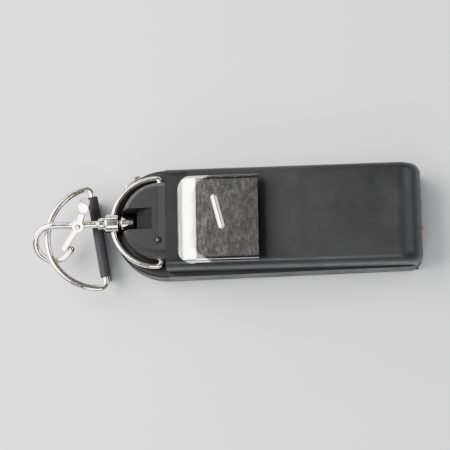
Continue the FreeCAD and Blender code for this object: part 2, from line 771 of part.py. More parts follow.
def far_plate():
    return cell_start(1) + cell_length + cell_nub + 0.05 + contact_sheet / 2


def make_cell(s):
    y = s * (cell_diameter / 2 + 0.25)
    x0 = cell_start(s)
    can = bore_x(x0, x0 + cell_length, y, cell_z, cell_diameter / 2)
    can = can.makeChamfer(0.6, pick(can, lambda e: e.Curve.TypeId == "Part::GeomCircle"))
    nub_x = x0 + cell_length if s > 0 else x0 - cell_nub
    return can.fuse(bore_x(nub_x, nub_x + cell_nub, y, cell_z, cell_nub_diameter / 2)).removeSplitter()


def make_contacts(place, springy):
    """Two contact plates at one end of the bay, carried on the board."""
    plates = []
    for s in (-1, 1):
        y = s * (cell_diameter / 2 + 0.25)
        sheet = block(place - contact_sheet / 2, place + contact_sheet / 2, y - 0.38 * cell_diameter,
                      y + 0.38 * cell_diameter, cell_z - 0.28 * cell_diameter, board_height)
        plates.append(sheet)
        if s == springy:
            way = Vec(1, 0, 0) if place < 0.5 * (bay_start + bay_end) else Vec(-1, 0, 0)
            seat = Vec(place, y, cell_z) + way * contact_sheet / 2
            plates.append(coil(contact_turns, contact_wire, 0.22 * cell_diameter, seat, way))
    return Part.makeCompound(plates)


def make_board():
    half = back_width / 2 - wall - 2 * seat_gap
    board = block(shell_start + wall + 0.4, far_plate() + 0.5, -half, half, board_height, board_top)
    for x, y in screw_places():
        board = board.cut(bore_z(0, 40, x, y, screw_diameter / 2 + 0.3))
    return board


def make_posts():
    """Four posts that carry the board on the front shell's screw bosses."""
    posts = []
    for x, y in screw_places():
        post = bore_z(split_height, board_height, x, y, post_radius).cut(bore_z(0, 40, x, y, screw_diameter / 2))
        posts.append(post)
    return Part.makeCompound(posts)


def make_case_screws():
    screws = []
    for x, y in screw_places():
        seat = case_head_height + 0.4
        shaft = bore_z(seat, board_top, x, y, screw_diameter / 2)
        head = bore_z(seat - case_head_height, seat, x, y, screw_head_radius)
        screws.append(shaft.fuse(head).removeSplitter())
    return Part.makeCompound(screws)


def shield_start():
    return clip_base_x() + shield_gap


def make_shield():
    start = shield_start()
    half = shield_width / 2
    can = block(start, start + shield_length, -half, half, board_top, board_top + shield_height)
    return rounded(can, 1.0, upright)


def make_chips():
    """Four chips in the space after the shield, placed and sized in shares of the largest."""
    start = shield_start() + shield_length + chip_gap
    pieces = []
    for along, across, share in ((0.5, 0, 1.0), (1.9, -0.95, 0.5), (2.0, 0.8, 0.8), (3.2, -0.1, 0.4)):
        x = start + along * chip_size
        y = across * chip_size
        half = share * chip_size / 2
        pieces.append(block(x - half, x + half, y - half, y + half, board_top, board_top + chip_height))
    return Part.makeCompound(pieces)


def make_side_switch():
    y_out = half_front(slider_place)
    face = y_out + slider_rise
    cap = block(slider_place - slider_length / 2, slider_place + slider_length / 2, y_out + run_gap, face,
                split_height / 2 - slider_width / 2, split_height / 2 + slider_width / 2)
    cap = rounded(cap, slider_rise * 0.55, lambda e: e.BoundBox.YMin > face - run_gap)
    for i in (-1, 0, 1):
        x = slider_place + i * slider_length * 0.225
        cap = cap.cut(block(x - 0.35, x + 0.35, face - 0.4, face + 1, 0, split_height))
    stem = block(slider_place - stem_half, slider_place + stem_half, y_out - wall - stem_reach, y_out + 0.2,
                 split_height / 2 - stem_half - run_gap, split_height / 2 + stem_half + run_gap)
    return cap.fuse(stem).removeSplitter()


def make_charge_contacts():
    pads = []
    for s in (-1, 1):
        pad = bore_x(end - wall - 0.6, end + 0.3, s * charge_spread, charge_height, charge_radius)
        pads.append(pad)
    return Part.makeCompound(pads)


front = make_front_shell()
for s in (-1, 1):
    front = front.cut(bore_x(end - wall - 2, end + 1, s * charge_spread, charge_height, charge_radius))
save("front_shell", front)
save("back_shell", make_back_shell())
save("seam_gasket", make_gasket())
save("top_cap", make_top_cap())
save("status_lamp", make_lamp())
save("mic_jack", make_jack())
save("mic_jack_nut", make_jack_nut())
save("charge_contacts", make_charge_contacts())
save("bail", make_bail())
save("snap_hook", make_hook())
save("trigger", make_trigger())
save("trigger_pin", make_trigger_pin())
save("strap_ring", make_ring())
save("strap_tab", make_tab())
save("clip_plate", make_clip())
save("clip_base", make_clip_base())
save("clip_pin", make_clip_pin())
save("clip_screws", make_clip_screws())
save("clip_spring", make_clip_spring())
save("display_window", make_window())
save("display_panel", make_display())
for index, y in enumerate(key_places()):
    save("key_" + str(index + 1), make_key(y))
save("battery_door", make_door())
save("battery_cell_1", make_cell(1))
save("battery_cell_2", make_cell(-1))
save("contacts_near", make_contacts(near_plate(), 1))
save("contacts_far", make_contacts(far_plate(), -1))
save("main_board", make_board())
save("board_posts", make_posts())
save("radio_shield", make_shield())
save("board_chips", make_chips())
save("case_screws", make_case_screws())
save("side_switch", make_side_switch())
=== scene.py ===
import json
import math
import random

import bmesh
import bpy
from mathutils import Matrix, Vector


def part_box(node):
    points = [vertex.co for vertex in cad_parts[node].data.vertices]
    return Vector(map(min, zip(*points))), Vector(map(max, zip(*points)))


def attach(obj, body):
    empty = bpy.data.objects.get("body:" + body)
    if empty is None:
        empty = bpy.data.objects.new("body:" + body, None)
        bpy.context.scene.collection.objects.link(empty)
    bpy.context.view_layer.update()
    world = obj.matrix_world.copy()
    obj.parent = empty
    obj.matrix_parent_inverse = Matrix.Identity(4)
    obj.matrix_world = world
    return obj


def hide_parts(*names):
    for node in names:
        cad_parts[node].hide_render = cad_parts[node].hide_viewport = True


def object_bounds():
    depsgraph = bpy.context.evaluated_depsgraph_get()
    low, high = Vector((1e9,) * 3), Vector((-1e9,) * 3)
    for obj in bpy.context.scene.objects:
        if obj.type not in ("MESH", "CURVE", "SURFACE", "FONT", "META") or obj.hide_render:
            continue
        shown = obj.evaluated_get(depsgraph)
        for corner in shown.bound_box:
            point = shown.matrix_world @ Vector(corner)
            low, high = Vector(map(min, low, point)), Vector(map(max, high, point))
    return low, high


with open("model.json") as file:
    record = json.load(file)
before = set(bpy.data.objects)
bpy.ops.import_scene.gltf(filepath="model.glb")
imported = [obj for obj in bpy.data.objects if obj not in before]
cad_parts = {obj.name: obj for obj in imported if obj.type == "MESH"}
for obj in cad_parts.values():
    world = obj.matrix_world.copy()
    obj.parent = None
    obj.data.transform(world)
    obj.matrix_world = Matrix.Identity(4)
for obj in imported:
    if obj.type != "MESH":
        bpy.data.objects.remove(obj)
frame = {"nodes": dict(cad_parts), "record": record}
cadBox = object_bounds()
random.seed(7)
mm = 0.001
print("frame loaded:", len(frame["nodes"]), "nodes")


# camera: looks down on the clip side, a little from the -Y side and from the right
lookFrom = {"side": 0.08, "front": -0.19, "above": 0.98, "distance": 0.92, "spread": 0.192, "roll": 1.0,
            "sensor": 36, "near": 0.01, "far": 20, "contrast": "AgX - Medium High Contrast"}

def placeCamera(look):
    low, high = cadBox
    middle = (low + high) / 2
    back = Vector((look["side"], look["front"], look["above"])).normalized()
    eye = bpy.data.cameras.new("camera")
    eye.sensor_width = look["sensor"]
    eye.lens = look["sensor"] * look["distance"] / look["spread"]
    eye.clip_start = look["near"]
    eye.clip_end = look["far"]
    camera = bpy.data.objects.new("camera", eye)
    bpy.context.scene.collection.objects.link(camera)
    camera.location = middle + back * look["distance"]
    right = Vector((0, 1, 0)).cross(back).normalized()
    up = back.cross(right)
    turn = Matrix((right, up, back)).transposed()
    roll = Matrix.Rotation(math.radians(-look["roll"]), 3, "Z")
    camera.rotation_euler = (turn @ roll).to_euler()
    bpy.context.scene.camera = camera
    bpy.context.scene.view_settings.look = look["contrast"]


# light: a wide lamp up left, weaker ones in front and on the right, a faint strip behind, a pale surround
lampPlan = [
    {"name": "keyLamp", "at": (-0.62, 0.1, 0.6), "size": (0.9, 0.9), "power": 17.5,
     "tint": (1.0, 0.99, 0.975)},
    {"name": "frontLamp", "at": (-0.06, -0.66, 0.64), "size": (0.42, 0.3), "power": 2.6,
     "tint": (0.97, 0.98, 1.0)},
    {"name": "backStrip", "at": (-0.3, 0.75, 0.42), "size": (0.5, 0.1), "power": 1.2,
     "tint": (1.0, 1.0, 1.0)},
    {"name": "fillLamp", "at": (0.62, 0.16, 0.42), "size": (0.5, 0.5), "power": 1.5,
     "tint": (0.98, 0.99, 1.0)},
]
surroundLook = {"tint": (0.86, 0.875, 0.89), "strength": 0.24}

def hangLamps(plan, around):
    low, high = cadBox
    middle = (low + high) / 2
    for entry in plan:
        lamp = bpy.data.lights.new(entry["name"], "AREA")
        lamp.shape = "RECTANGLE"
        lamp.size, lamp.size_y = entry["size"]
        lamp.energy = entry["power"]
        lamp.color = entry["tint"]
        holder = bpy.data.objects.new(entry["name"], lamp)
        holder.location = entry["at"]
        aim = middle - holder.location
        holder.rotation_euler = aim.to_track_quat("-Z", "Y").to_euler()
        bpy.context.scene.collection.objects.link(holder)
    surround = bpy.data.worlds.new("surround")
    surround.use_nodes = True
    sky = surround.node_tree.nodes["Background"]
    sky.inputs["Color"].default_value = (*around["tint"], 1)
    sky.inputs["Strength"].default_value = around["strength"]
    bpy.context.scene.world = surround


# shorthand for building finishes out of shader nodes
def startFinish(name):
    finish = bpy.data.materials.new(name)
    finish.use_nodes = True
    tree = finish.node_tree
    return finish, tree, tree.nodes["Principled BSDF"]

def add(tree, kind, inputs=None, **settings):
    node = tree.nodes.new(kind)
    for key, value in settings.items():
        setattr(node, key, value)
    for key, value in (inputs or {}).items():
        node.inputs[key].default_value = value
    return node

def join(tree, source, outlet, target, inlet):
    tree.links.new(source.outputs[outlet], target.inputs[inlet])

def places(tree, stretch=(1, 1, 1), outlet="Object"):
    where = add(tree, "ShaderNodeTexCoord")
    scale = add(tree, "ShaderNodeMapping", {"Scale": stretch})
    join(tree, where, outlet, scale, "Vector")
    return scale

def noise(tree, where, size, detail=3.0, rough=0.5):
    spots = add(tree, "ShaderNodeTexNoise", {"Scale": 1 / size, "Detail": detail, "Roughness": rough})
    join(tree, where, "Vector", spots, "Vector")
    return spots

def ramp(tree, source, outlet, stops):
    band = add(tree, "ShaderNodeValToRGB")
    marks = band.color_ramp.elements
    marks[0].position, marks[0].color = stops[0][0], (*stops[0][1], 1)
    marks[1].position, marks[1].color = stops[-1][0], (*stops[-1][1], 1)
    for position, tone in stops[1:-1]:
        mark = marks.new(position)
        mark.color = (*tone, 1)
    join(tree, source, outlet, band, "Fac")
    return band

def spread(tree, source, outlet, low, high, fromLow=0.35, fromHigh=0.65):
    span = add(tree, "ShaderNodeMapRange", {"From Min": fromLow, "From Max": fromHigh,
                                            "To Min": low, "To Max": high})
    join(tree, source, outlet, span, "Value")
    return span

def paint(tree, tone):
    pot = add(tree, "ShaderNodeRGB")
    pot.outputs[0].default_value = (*tone, 1)
    return pot

def combine(tree, operation, first, firstOut, second, secondOut):
    both = add(tree, "ShaderNodeMath", operation=operation)
    join(tree, first, firstOut, both, 0)
    join(tree, second, secondOut, both, 1)
    return both

def byNumber(tree, operation, source, outlet, number):
    result = add(tree, "ShaderNodeMath", {1: number}, operation=operation)
    join(tree, source, outlet, result, 0)
    return result

def blendTones(tree, amount, outlet, first, firstOut, second, secondOut):
    mix = add(tree, "ShaderNodeMix", data_type="RGBA")
    join(tree, amount, outlet, mix, 0)
    join(tree, first, firstOut, mix, 6)
    join(tree, second, secondOut, mix, 7)
    return mix

def bumps(tree, shader, layers):
    last = None
    for source, outlet, strength, depth in layers:
        bump = add(tree, "ShaderNodeBump", {"Strength": strength, "Distance": depth})
        join(tree, source, outlet, bump, "Height")
        if last:
            join(tree, last, "Normal", bump, "Normal")
        last = bump
    join(tree, last, "Normal", shader, "Normal")

def edgeMask(tree, radius, low=0.03, high=0.25, samples=4):
    soft = add(tree, "ShaderNodeBevel", {"Radius": radius}, samples=samples)
    shape = add(tree, "ShaderNodeNewGeometry")
    dot = add(tree, "ShaderNodeVectorMath", operation="DOT_PRODUCT")
    join(tree, soft, "Normal", dot, 0)
    join(tree, shape, "Normal", dot, 1)
    turn = add(tree, "ShaderNodeMath", {0: 1.0}, operation="SUBTRACT")
    join(tree, dot, "Value", turn, 1)
    return spread(tree, turn, "Value", 0, 1, low, high)


# which body carries each solid
homes = {node: body for body, names in frame["record"]["behaviour"]["bodies"].items() for node in names}

def newPiece(name, mesh, finish, node, stands=True, crease=35):
    shape = bpy.data.meshes.new(name)
    bmesh.ops.recalc_face_normals(mesh, faces=mesh.faces)
    mesh.to_mesh(shape)
    mesh.free()
    shape.materials.append(finish)
    shape.shade_smooth()
    shape.set_sharp_from_angle(angle=math.radians(crease))
    piece = bpy.data.objects.new(name, shape)
    bpy.context.scene.collection.objects.link(piece)
    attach(piece, homes[node])
    if stands:
        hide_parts(node)
    return piece

# turns a list of (radius, height) about +Z and puts it in place; teeth bend the radius round the rim
def turned(mesh, profile, sides, place, teeth=None):
    rings = []
    for radius, height in profile:
        ring = []
        for i in range(sides):
            turn = 2 * math.pi * i / sides
            reach = teeth(radius, turn) if teeth else radius
            spot = Vector((reach * math.cos(turn), reach * math.sin(turn), height))
            ring.append(mesh.verts.new(place @ spot))
        rings.append(ring)
    for low, high in zip(rings, rings[1:]):
        for i in range(sides):
            j = (i + 1) % sides
            mesh.faces.new((low[i], low[j], high[j], high[i]))
    return rings

def capRing(mesh, ring):
    mesh.faces.new(ring)

# flat outline of (x, y) points raised between two heights, put in place
def slab(mesh, points, low, high, place):
    floor = [mesh.verts.new(place @ Vector((x, y, low))) for x, y in points]
    roof = [mesh.verts.new(place @ Vector((x, y, high))) for x, y in points]
    mesh.faces.new(floor[::-1])
    mesh.faces.new(roof)
    for i in range(len(points)):
        j = (i + 1) % len(points)
        mesh.faces.new((floor[i], floor[j], roof[j], roof[i]))

# round wire through a run of points, as a mesh
def wireMesh(points, radius, sides=10):
    curve = bpy.data.curves.new("wire", "CURVE")
    curve.dimensions = "3D"
    curve.bevel_depth = radius
    curve.bevel_resolution = sides // 2 - 1
    curve.use_fill_caps = True
    run = curve.splines.new("POLY")
    run.points.add(len(points) - 1)
    for point, spot in zip(run.points, points):
        point.co = (*spot, 1)
    holder = bpy.data.objects.new("wire", curve)
    shape = bpy.data.meshes.new_from_object(holder)
    mesh = bmesh.new()
    mesh.from_mesh(shape)
    bpy.data.objects.remove(holder)
    bpy.data.curves.remove(curve)
    bpy.data.meshes.remove(shape)
    return mesh

def addMesh(mesh, other):
    shape = bpy.data.meshes.new("part")
    other.to_mesh(shape)
    other.free()
    mesh.from_mesh(shape)
    bpy.data.meshes.remove(shape)


# moulded plastic: spark-eroded grain, handling marks, paler rubbed edges, and painted shade and painted
# highlight bands where given
plasticLook = {
    "case": {"dark": (0.0235, 0.0237, 0.0246), "light": (0.034, 0.0343, 0.0354),
             "rubbed": (0.09, 0.09, 0.092), "grain": 0.0003, "grainDepth": 0.00005, "smooth": 0.34,
             "dull": 0.46, "dust": 0.16},
    "cap": {"dark": (0.009, 0.0092, 0.0098), "light": (0.014, 0.0142, 0.015), "rubbed": (0.06, 0.06, 0.062),
            "grain": 0.00036, "grainDepth": 0.00005, "smooth": 0.38, "dull": 0.52, "dust": 0.2},
    "keys": {"dark": (0.05, 0.05, 0.053), "light": (0.065, 0.065, 0.07), "rubbed": (0.13, 0.13, 0.13),
             "grain": 0.0004, "grainDepth": 0.00001, "smooth": 0.26, "dull": 0.4, "dust": 0.1},
    "post": {"dark": (0.03, 0.03, 0.032), "light": (0.04, 0.04, 0.043), "rubbed": (0.07, 0.07, 0.07),
             "grain": 0.0004, "grainDepth": 0.00001, "smooth": 0.4, "dull": 0.5, "dust": 0.1},
}

# what all the plastics share: sizes of clouds, chips, dust and handling marks in metres; soft is in mm
plasticWear = {"cloud": 0.035, "fleck": 0.003, "fleckShare": 0.75, "edge": 0.0007, "dust": 0.00045,
               "dustTone": (0.2, 0.2, 0.2), "handled": 0.012, "wave": 0.02, "waveDepth": 0.0002,
               "soft": 0.12}

# 1 inside a box of the object's own space, 0 outside it
def inBox(tree, split, low, high):
    soft = plasticWear["soft"] * mm
    last = None
    for axis, start, stop in zip("XYZ", low, high):
        rise = spread(tree, split, axis, 0, 1, start - soft, start + soft)
        fall = spread(tree, split, axis, 1, 0, stop - soft, stop + soft)
        inside = combine(tree, "MULTIPLY", rise, "Result", fall, "Result")
        last = combine(tree, "MULTIPLY", last, "Value", inside, "Value") if last else inside
    return last

def plasticFinish(name, look, paintedBands=(), shadedRecess=None):
    finish, tree, shader = startFinish(name)
    where = places(tree)
    clouds = noise(tree, where, plasticWear["cloud"], 4)
    tone = ramp(tree, clouds, "Fac", [(0.35, look["dark"]), (0.65, look["light"])])
    chip = noise(tree, where, plasticWear["fleck"], 6, 0.7)
    edge = edgeMask(tree, plasticWear["edge"])
    flecks = spread(tree, chip, "Fac", 0, plasticWear["fleckShare"], 0.42, 0.62)
    worn = combine(tree, "MULTIPLY", edge, "Result", flecks, "Result")
    colour = blendTones(tree, worn, "Value", tone, "Color", paint(tree, look["rubbed"]), "Color")
    dust = noise(tree, where, plasticWear["dust"], 2, 0.4)
    specks = spread(tree, dust, "Fac", 0, look["dust"], 0.66, 0.76)
    pale = paint(tree, plasticWear["dustTone"])
    last = blendTones(tree, specks, "Result", colour, "Result", pale, "Color")
    split = add(tree, "ShaderNodeSeparateXYZ")
    join(tree, where, "Vector", split, "Vector")
    # painted shade and painted highlight bands, each laid over the tone inside its box
    for band in paintedBands:
        inside = inBox(tree, split, band["low"], band["high"])
        last = blendTones(tree, inside, "Value", last, "Result", paint(tree, band["tone"]), "Color")
    handled = noise(tree, where, plasticWear["handled"], 5, 0.6)
    gloss, outlet = spread(tree, handled, "Fac", look["smooth"], look["dull"]), "Result"
    # painted shade: the recess inside its box darkened and made duller
    if shadedRecess:
        inside = inBox(tree, split, shadedRecess["low"], shadedRecess["high"])
        last = blendTones(tree, inside, "Value", last, "Result", paint(tree, shadedRecess["tone"]), "Color")
        matt = add(tree, "ShaderNodeMix", {3: shadedRecess["dull"]}, data_type="FLOAT")
        join(tree, inside, "Value", matt, 0)
        join(tree, gloss, "Result", matt, 2)
        gloss, outlet = matt, 0
    join(tree, gloss, outlet, shader, "Roughness")
    join(tree, last, "Result", shader, "Base Color")
    pits = add(tree, "ShaderNodeTexVoronoi", {"Scale": 1 / look["grain"]})
    join(tree, where, "Vector", pits, "Vector")
    waves = noise(tree, where, plasticWear["wave"], 2)
    bumps(tree, shader, [(pits, "Distance", 0.35, look["grainDepth"]),
                         (waves, "Fac", 0.12, plasticWear["waveDepth"])])
    return finish


# bare and plated metals: fine wipe lines, cloudy gloss, small nicks
metalLook = {
    "nickel": {"tone": (0.82, 0.79, 0.735), "shade": (0.56, 0.535, 0.495), "smooth": 0.07, "dull": 0.2,
               "lines": (1, 1, 1), "lineSize": 0.002, "lineDepth": 0.000008, "cloud": 0.004},
    "clip": {"tone": (0.275, 0.272, 0.267), "shade": (0.22, 0.217, 0.213), "smooth": 0.19, "dull": 0.27,
             "lines": (3, 1, 1), "lineSize": 0.003, "lineDepth": 0.000002, "cloud": 0.0016,
             "buckle": 0.35},
    "screw": {"tone": (0.5, 0.5, 0.51), "shade": (0.3, 0.3, 0.31), "smooth": 0.2, "dull": 0.36,
              "lines": (1, 1, 1), "lineSize": 0.001, "lineDepth": 0.00001, "cloud": 0.003},
    "brass": {"tone": (0.83, 0.63, 0.3), "shade": (0.55, 0.4, 0.2), "smooth": 0.16, "dull": 0.32,
              "lines": (1, 6, 1), "lineSize": 0.001, "lineDepth": 0.000005, "cloud": 0.004},
    "tin": {"tone": (0.74, 0.74, 0.75), "shade": (0.5, 0.5, 0.52), "smooth": 0.25, "dull": 0.42,
            "lines": (1, 9, 1), "lineSize": 0.003, "lineDepth": 0.00001, "cloud": 0.006},
}

metalWear = {"nicks": 900.0, "nickDepth": 0.000012, "press": 0.011, "pressShare": 0.05,
             "pressDepth": 0.0006}

def metalFinish(name, look):
    finish, tree, shader = startFinish(name)
    where = places(tree)
    clouds = noise(tree, where, look["cloud"], 5, 0.6)
    tone = ramp(tree, clouds, "Fac", [(0.3, look["shade"]), (0.55, look["tone"])])
    join(tree, tone, "Color", shader, "Base Color")
    shader.inputs["Metallic"].default_value = 1.0
    along = places(tree, look["lines"])
    wipes = noise(tree, along, look["lineSize"], 6, 0.65)
    gloss = spread(tree, wipes, "Fac", look["smooth"], look["dull"])
    join(tree, gloss, "Result", shader, "Roughness")
    nicks = add(tree, "ShaderNodeTexVoronoi", {"Scale": metalWear["nicks"]})
    join(tree, where, "Vector", nicks, "Vector")
    dents = spread(tree, nicks, "Distance", 0, 1, 0.02, 0.1)
    press = noise(tree, where, metalWear["press"], 2)
    buckle = look.get("buckle", metalWear["pressShare"])
    bumps(tree, shader, [(wipes, "Fac", 0.3, look["lineDepth"]),
                         (dents, "Result", 0.25, metalWear["nickDepth"]),
                         (press, "Fac", buckle, metalWear["pressDepth"])])
    return finish


# belt clip: dark satin plating, with a painted highlight on the bead and along the rolled edge, and painted
# shade along the long edges
# the bead and rolled-edge tones are painted highlights; rim is painted shade along the long edges
clipLook = {"beadHighlightTone": (0.88, 0.87, 0.85), "beadHighlightDull": 0.3, "beadHigh": 0.9, "above": 0.05,
            "rolled": (0.78, 0.775, 0.76), "rolledDull": 0.24, "rollWide": 6.6, "rollSoft": 0.8,
            "wrap": 8.0, "wrapWide": 11.0, "wrapPower": 3.0, "ragged": 0.9, "raggedSize": 0.004,
            "easeStart": 1.2, "easeWide": 2.8, "easeDeep": 0.5,
            "rim": (0.1, 0.1, 0.102), "rimWide": 2.1, "rimSoft": 0.2}

def clipFinish(name, plate, look):
    finish = metalFinish(name, plate)
    tree = finish.node_tree
    shader = tree.nodes["Principled BSDF"]
    where = places(tree)
    split = add(tree, "ShaderNodeSeparateXYZ")
    join(tree, where, "Vector", split, "Vector")
    low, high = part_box("clip_plate")
    face = high.z - look["beadHigh"] * mm
    # painted highlight: a near-white tone on the top of the bead
    bead = spread(tree, split, "Z", 0, 1, face + look["above"] * mm, face + 2 * look["above"] * mm)
    # distance in from the rolled edge, cut short beside the long edges so that the painted highlight wraps
    # round
    middle = byNumber(tree, "SUBTRACT", split, "Y", (low.y + high.y) / 2)
    aside = add(tree, "ShaderNodeMath", operation="ABSOLUTE")
    join(tree, middle, "Value", aside, 0)
    half = (high.y - low.y) / 2
    beside = spread(tree, aside, "Value", 0, 1, half - look["wrapWide"] * mm, half)
    curve = byNumber(tree, "POWER", beside, "Result", look["wrapPower"])
    wrap = byNumber(tree, "MULTIPLY", curve, "Value", look["wrap"] * mm)
    inward = combine(tree, "SUBTRACT", split, "X", wrap, "Value")
    ragged = spread(tree, noise(tree, where, look["raggedSize"], 4), "Fac", 0, look["ragged"] * mm)
    torn = combine(tree, "ADD", inward, "Value", ragged, "Result")
    edge, soft = low.x + look["rollWide"] * mm, look["rollSoft"] * mm
    # painted highlight: a pale band along the rolled edge, wrapping round the corners
    rolled = spread(tree, torn, "Value", 1, 0, edge - soft, edge + soft)
    start = edge - look["easeStart"] * mm
    ease = spread(tree, split, "X", 0, 1, start, start + look["easeWide"] * mm)
    ease.interpolation_type = "SMOOTHSTEP"
    # painted shade: a dark band along the plate's long edges
    inset = half - look["rimWide"] * mm
    rim = spread(tree, aside, "Value", 0, 1, inset, inset + look["rimSoft"] * mm)
    tone = shader.inputs["Base Color"].links[0].from_socket
    gloss = shader.inputs["Roughness"].links[0].from_socket
    # painted shade on the long edges, then painted highlights on the rolled edge and the bead, each over the
    # plating's tone and gloss
    for mask, colour, dull in ((rim, look["rim"], None), (rolled, look["rolled"], look["rolledDull"]),
                               (bead, look["beadHighlightTone"], look["beadHighlightDull"])):
        mix = add(tree, "ShaderNodeMix", data_type="RGBA")
        join(tree, mask, "Result", mix, 0)
        tree.links.new(tone, mix.inputs[6])
        join(tree, paint(tree, colour), "Color", mix, 7)
        tone = mix.outputs[2]
        if dull:
            mix = add(tree, "ShaderNodeMix", {3: dull}, data_type="FLOAT")
            join(tree, mask, "Result", mix, 0)
            tree.links.new(gloss, mix.inputs[2])
            gloss = mix.outputs[0]
    tree.links.new(tone, shader.inputs["Base Color"])
    tree.links.new(gloss, shader.inputs["Roughness"])
    before = shader.inputs["Normal"].links[0].from_node
    roll = add(tree, "ShaderNodeBump", {"Strength": 1.0, "Distance": look["easeDeep"] * mm})
    join(tree, ease, "Result", roll, "Height")
    join(tree, before, "Normal", roll, "Normal")
    join(tree, roll, "Normal", shader, "Normal")
    return finish


rubberLook = {"tone": (0.012, 0.012, 0.012), "worn": (0.03, 0.03, 0.03), "grain": 0.0005}

def rubberFinish(name, look):
    finish, tree, shader = startFinish(name)
    where = places(tree)
    clouds = noise(tree, where, 0.01, 4)
    tone = ramp(tree, clouds, "Fac", [(0.4, look["tone"]), (0.7, look["worn"])])
    join(tree, tone, "Color", shader, "Base Color")
    shader.inputs["Roughness"].default_value = 0.72
    bumps(tree, shader, [(noise(tree, where, look["grain"], 3), "Fac", 0.4, 0.00003)])
    return finish


# woven polyester: ribs across the width, two thread lines, fuzz from a sheen
webbingLook = {"thread": (0.03, 0.03, 0.032), "highlight": (0.045, 0.045, 0.048), "rib": 0.0008,
               "row": 0.0011, "ribStray": 0.6, "rowStray": 0.8, "dull": 0.82, "sheen": 0.35, "sheenDull": 0.4}

def webbingFinish(name, look):
    finish, tree, shader = startFinish(name)
    where = places(tree, outlet="UV")
    waves = []
    for step, stray, way in (("rib", "ribStray", "X"), ("row", "rowStray", "Y")):
        scale = 0.5 / look[step] / math.pi
        wave = add(tree, "ShaderNodeTexWave", {"Scale": scale, "Distortion": look[stray]},
                   wave_type="BANDS", bands_direction=way)
        join(tree, where, "Vector", wave, "Vector")
        waves.append(wave)
    weave = combine(tree, "MULTIPLY", waves[0], "Fac", waves[1], "Fac")
    tone = ramp(tree, weave, "Value", [(0.0, look["thread"]), (0.8, look["highlight"])])
    join(tree, tone, "Color", shader, "Base Color")
    shader.inputs["Roughness"].default_value = look["dull"]
    shader.inputs["Sheen Weight"].default_value = look["sheen"]
    shader.inputs["Sheen Roughness"].default_value = look["sheenDull"]
    fuzz = noise(tree, places(tree), 0.0004, 3)
    bumps(tree, shader, [(weave, "Value", 0.6, 0.00012), (fuzz, "Fac", 0.3, 0.00006)])
    return finish


windowLook = {"tint": (0.62, 0.64, 0.65), "hair": (0.7, 0.71, 0.72), "smooth": 0.03, "scuff": 0.12,
              "clear": 0.95, "bend": 1.49, "coat": 0.4}

def windowFinish(name, look):
    finish, tree, shader = startFinish(name)
    where = places(tree, (1, 7, 1))
    hair = noise(tree, where, 0.004, 8, 0.75)
    gloss = spread(tree, hair, "Fac", look["smooth"], look["scuff"], 0.5, 0.7)
    tone = ramp(tree, hair, "Fac", [(0.3, look["tint"]), (0.9, look["hair"])])
    join(tree, tone, "Color", shader, "Base Color")
    join(tree, gloss, "Result", shader, "Roughness")
    shader.inputs["Transmission Weight"].default_value = look["clear"]
    shader.inputs["IOR"].default_value = look["bend"]
    shader.inputs["Coat Weight"].default_value = look["coat"]
    return finish


displayLook = {"field": (0.36, 0.39, 0.32), "shade": (0.28, 0.305, 0.255)}

def displayFinish(name, look):
    finish, tree, shader = startFinish(name)
    clouds = noise(tree, places(tree), 0.008, 3)
    tone = ramp(tree, clouds, "Fac", [(0.3, look["shade"]), (0.7, look["field"])])
    join(tree, tone, "Color", shader, "Base Color")
    shader.inputs["Roughness"].default_value = 0.3
    bumps(tree, shader, [(noise(tree, places(tree), 0.0005, 2), "Fac", 0.1, 0.00001)])
    return finish


lampLook = {"core": (0.05, 0.052, 0.05), "rim": (0.09, 0.092, 0.09), "dull": 0.18, "clear": 0.5}

def lampFinish(name, look):
    finish, tree, shader = startFinish(name)
    clouds = noise(tree, places(tree), 0.0015, 3)
    tone = ramp(tree, clouds, "Fac", [(0.3, look["core"]), (0.7, look["rim"])])
    join(tree, tone, "Color", shader, "Base Color")
    shader.inputs["Roughness"].default_value = look["dull"]
    shader.inputs["Transmission Weight"].default_value = look["clear"]
    bumps(tree, shader, [(clouds, "Fac", 0.15, 0.00005)])
    return finish


boardLook = {"mask": (0.008, 0.075, 0.035), "copper": (0.02, 0.13, 0.06), "fine": 150.0, "track": 0.03}

def boardFinish(name, look):
    finish, tree, shader = startFinish(name)
    where = places(tree)
    mask, copper = (*look["mask"], 1), (*look["copper"], 1)
    tracks = add(tree, "ShaderNodeTexBrick", {"Scale": look["fine"], "Mortar Size": look["track"],
                                              "Color1": mask, "Color2": mask, "Mortar": copper})
    join(tree, where, "Vector", tracks, "Vector")
    join(tree, tracks, "Color", shader, "Base Color")
    shader.inputs["Roughness"].default_value = 0.32
    bumps(tree, shader, [(tracks, "Fac", 0.3, 0.00003)])
    return finish


cellLook = {"sleeve": (0.02, 0.022, 0.03), "band": (0.42, 0.33, 0.16), "tin": (0.6, 0.6, 0.6),
            "bandStart": 0.7, "rim": 0.012, "nub": 0.031, "metal": 0.75}

def cellFinish(name, look, node, nubAt):
    finish, tree, shader = startFinish(name)
    where = places(tree)
    split = add(tree, "ShaderNodeSeparateXYZ")
    join(tree, where, "Vector", split, "Vector")
    low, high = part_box(node)
    ends = (low.x, high.x) if nubAt == "far" else (high.x, low.x)
    along = spread(tree, split, "X", 0, 1, *ends)
    stops = [(0.0, look["tin"]), (look["rim"], look["sleeve"]), (look["bandStart"], look["band"]),
             (1 - look["nub"], look["tin"])]
    tone = ramp(tree, along, "Result", stops)
    tone.color_ramp.interpolation = "CONSTANT"
    join(tree, tone, "Color", shader, "Base Color")
    shader.inputs["Metallic"].default_value = look["metal"]
    scuff = noise(tree, where, 0.004, 5)
    join(tree, spread(tree, scuff, "Fac", 0.2, 0.4), "Result", shader, "Roughness")
    bumps(tree, shader, [(scuff, "Fac", 0.1, 0.00003)])
    return finish


